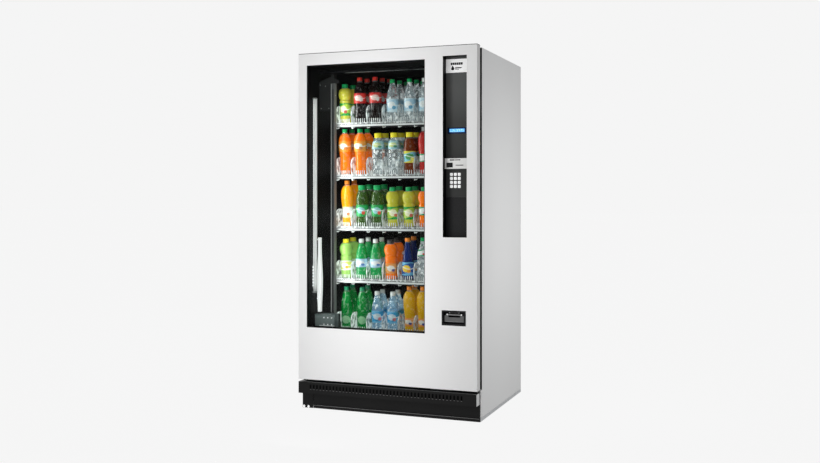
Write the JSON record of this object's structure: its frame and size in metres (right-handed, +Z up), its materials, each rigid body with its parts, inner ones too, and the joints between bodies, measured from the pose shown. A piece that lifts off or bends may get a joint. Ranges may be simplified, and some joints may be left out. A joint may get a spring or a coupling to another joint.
{
  "type": "glass-front vending machine",
  "caption": "Free-standing refrigerated vending machine for bottled drinks, with a glazed door, a product lift, a keypad and coin column, a delivery hatch and a plinth grille.",
  "frame": {"origin": "on the floor, at the centre of the footprint", "axes": "+Z up, the door faces -Y, +X to the right of someone facing the door"},
  "size_m": [0.96, 0.84, 1.83],
  "materials": {
    "white_paint": "satin",
    "black_paint": "satin",
    "galvanised": "satin",
    "steel": "satin",
    "black_plastic": "matte",
    "fascia_plastic": "satin",
    "white_plastic": "gloss",
    "divider_plastic": "gloss",
    "foam": "matte",
    "rubber": "matte",
    "fins": "satin",
    "rail_aluminium": "satin",
    "column_paint": "satin",
    "glass": "polished",
    "lamp": "satin",
    "screen": "gloss",
    "bottle_plastic": "gloss"
  },
  "bodies": {
    "cabinet": {"side_panel_left": "white_paint", "side_panel_right": "white_paint", "roof_panel": "white_paint", "rear_panel": "galvanised", "base_frame": "galvanised", "kick_plate": "black_paint", "levelling_feet": "steel", "insulation": "foam", "inner_liner": "black_plastic", "air_duct_panel": "black_plastic", "evaporator": "fins", "condenser": "fins", "compressor": "black_paint", "power_inlet": "black_plastic", "shelf_1": "galvanised", "shelf_2": "galvanised", "shelf_3": "galvanised", "shelf_4": "galvanised", "shelf_5": "galvanised", "lane_dividers": "divider_plastic", "lane_gates": "divider_plastic", "stock_bottles": "bottle_plastic", "lift_rails": "rail_aluminium", "door_hinges": "steel", "vent_grille": "black_paint"},
    "door": {"door_shell": "white_paint", "door_liner": "black_plastic", "door_gasket": "rubber", "door_glass": "glass", "glazing_spacer": "black_plastic", "cabin_lamp": "lamp", "control_fascia": "fascia_plastic", "sign_plate": "white_plastic", "display": "screen", "payment_plate": "steel", "coin_mechanism": "fascia_plastic", "delivery_bin": "black_plastic", "coin_cup": "black_plastic"},
    "delivery_hatch": {"delivery_hatch": "fascia_plastic"},
    "coin_flap": {"coin_flap": "fascia_plastic"},
    "coin_return_button": {"coin_return_button": "black_plastic"},
    "lock": {"lock": "steel"},
    "lift_column": {"lift_column": "column_paint", "lift_motor": "fascia_plastic", "cable_trunking": "white_plastic"},
    "lift_carriage": {"lift_carriage": "galvanised"},
    "evaporator_fan": {"evaporator_fan": "black_plastic"},
    "condenser_fan": {"condenser_fan": "black_plastic"},
    "key_1": {"key_1": "white_plastic"},
    "key_2": {"key_2": "white_plastic"},
    "key_3": {"key_3": "white_plastic"},
    "key_4": {"key_4": "white_plastic"},
    "key_5": {"key_5": "white_plastic"},
    "key_6": {"key_6": "white_plastic"},
    "key_7": {"key_7": "white_plastic"},
    "key_8": {"key_8": "white_plastic"},
    "key_9": {"key_9": "white_plastic"},
    "key_0": {"key_0": "white_plastic"},
    "key_star": {"key_star": "white_plastic"},
    "key_hash": {"key_hash": "white_plastic"}
  },
  "joints": [
    {"name": "door_swing", "type": "hinge", "parent": "cabinet", "child": "door", "pos_m": [-0.47, -0.35, 0.99], "axis": [0, 0, -1], "range_deg": [0, 110]},
    {"name": "hatch_slide", "type": "slide", "parent": "door", "child": "delivery_hatch", "axis": [0, 0, -1], "range_m": [0, 0.19]},
    {"name": "coin_flap_swing", "type": "hinge", "parent": "door", "child": "coin_flap", "pos_m": [0.361, -0.411, 0.522], "axis": [1, 0, 0], "range_deg": [0, 60], "stiffness_Nm_per_rad": 0.02, "springref_deg": -11.46},
    {"name": "coin_return_press", "type": "slide", "parent": "door", "child": "coin_return_button", "axis": [0, 1, 0], "range_m": [0, 0.003], "stiffness_N_per_m": 400, "springref_m": -0.001},
    {"name": "lock_turn", "type": "hinge", "parent": "door", "child": "lock", "pos_m": [0.427, -0.395, 1.34], "axis": [1, 0, 0], "range_deg": [-90, 0]},
    {"name": "lift_sideways", "type": "slide", "parent": "cabinet", "child": "lift_column", "axis": [1, 0, 0], "range_m": [0, 0.51]},
    {"name": "lift_height", "type": "slide", "parent": "lift_column", "child": "lift_carriage", "axis": [0, 0, 1], "range_m": [0, 1.1]},
    {"name": "evaporator_fan_spin", "type": "hinge", "parent": "cabinet", "child": "evaporator_fan", "pos_m": [-0.105, 0.355, 1], "axis": [0, 1, 0], "continuous": true},
    {"name": "condenser_fan_spin", "type": "hinge", "parent": "cabinet", "child": "condenser_fan", "pos_m": [-0.1, -0.108, 0.185], "axis": [0, 1, 0], "continuous": true},
    {"name": "key_1_press", "type": "slide", "parent": "door", "child": "key_1", "axis": [0, 1, 0], "range_m": [0, 0.002], "stiffness_N_per_m": 300, "springref_m": -0.001},
    {"name": "key_2_press", "type": "slide", "parent": "door", "child": "key_2", "axis": [0, 1, 0], "range_m": [0, 0.002], "stiffness_N_per_m": 300, "springref_m": -0.001},
    {"name": "key_3_press", "type": "slide", "parent": "door", "child": "key_3", "axis": [0, 1, 0], "range_m": [0, 0.002], "stiffness_N_per_m": 300, "springref_m": -0.001},
    {"name": "key_4_press", "type": "slide", "parent": "door", "child": "key_4", "axis": [0, 1, 0], "range_m": [0, 0.002], "stiffness_N_per_m": 300, "springref_m": -0.001},
    {"name": "key_5_press", "type": "slide", "parent": "door", "child": "key_5", "axis": [0, 1, 0], "range_m": [0, 0.002], "stiffness_N_per_m": 300, "springref_m": -0.001},
    {"name": "key_6_press", "type": "slide", "parent": "door", "child": "key_6", "axis": [0, 1, 0], "range_m": [0, 0.002], "stiffness_N_per_m": 300, "springref_m": -0.001},
    {"name": "key_7_press", "type": "slide", "parent": "door", "child": "key_7", "axis": [0, 1, 0], "range_m": [0, 0.002], "stiffness_N_per_m": 300, "springref_m": -0.001},
    {"name": "key_8_press", "type": "slide", "parent": "door", "child": "key_8", "axis": [0, 1, 0], "range_m": [0, 0.002], "stiffness_N_per_m": 300, "springref_m": -0.001},
    {"name": "key_9_press", "type": "slide", "parent": "door", "child": "key_9", "axis": [0, 1, 0], "range_m": [0, 0.002], "stiffness_N_per_m": 300, "springref_m": -0.001},
    {"name": "key_0_press", "type": "slide", "parent": "door", "child": "key_0", "axis": [0, 1, 0], "range_m": [0, 0.002], "stiffness_N_per_m": 300, "springref_m": -0.001},
    {"name": "key_star_press", "type": "slide", "parent": "door", "child": "key_star", "axis": [0, 1, 0], "range_m": [0, 0.002], "stiffness_N_per_m": 300, "springref_m": -0.001},
    {"name": "key_hash_press", "type": "slide", "parent": "door", "child": "key_hash", "axis": [0, 1, 0], "range_m": [0, 0.002], "stiffness_N_per_m": 300, "springref_m": -0.001}
  ]
}
